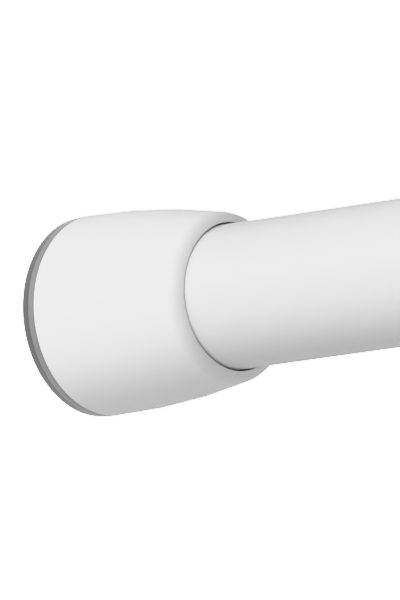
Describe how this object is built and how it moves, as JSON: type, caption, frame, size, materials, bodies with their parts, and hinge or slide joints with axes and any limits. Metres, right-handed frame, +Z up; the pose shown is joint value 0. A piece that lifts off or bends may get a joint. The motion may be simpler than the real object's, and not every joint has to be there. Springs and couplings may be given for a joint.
{
  "type": "spring tension rod",
  "caption": "Telescoping tension rod: white tubes between rubber-faced end caps, lengthened by turning the inner tube on a screw spindle, with a coil spring for grip.",
  "frame": {"origin": "middle of the left pad's wall face", "axes": "+X along the rod from the left wall to the right wall, +Z up"},
  "size_m": [0.7, 0.0354, 0.0354],
  "materials": {
    "powder_coat": "white semi-gloss powder coat on steel tube",
    "cap_moulding": "white moulded plastic, satin",
    "collar_moulding": "white moulded plastic, satin",
    "pad_rubber": "grey moulded rubber",
    "spring_steel": "drawn spring wire",
    "spindle_moulding": "natural white moulded plastic",
    "nut_moulding": "black moulded plastic",
    "plug_moulding": "white moulded plastic",
    "zinc_steel": "zinc-plated steel"
  },
  "bodies": {
    "outer": {"outer_tube": "powder_coat", "left_cap": "cap_moulding", "left_pad": "pad_rubber", "spring_plug": "plug_moulding", "mouth_collar": "collar_moulding", "spring": "spring_steel"},
    "spindle": {"spindle": "spindle_moulding", "spindle_stop": "zinc_steel", "stop_screw": "zinc_steel"},
    "guide": {"guide_bush": "nut_moulding"},
    "inner": {"inner_tube": "powder_coat", "nut_plug": "nut_moulding", "right_cap": "cap_moulding", "right_pad": "pad_rubber"}
  },
  "joints": [
    {"name": "spring_press", "type": "slide", "parent": "outer", "child": "spindle", "axis": [1, 0, 0], "range_m": [-0.03, 0], "stiffness_N_per_m": 3120, "deforming": ["spring"]},
    {"name": "extension", "type": "slide", "parent": "spindle", "child": "guide", "axis": [1, 0, 0], "range_m": [-0.09, 0.21]},
    {"name": "twist", "type": "hinge", "parent": "guide", "child": "inner", "pos_m": [0.2277, 0, 0], "axis": [1, 0, 0], "range_deg": [-3240, 7560]}
  ],
  "couplings": [
    {"joint": "twist", "follows": "extension", "rad_per_m": 628.32}
  ]
}
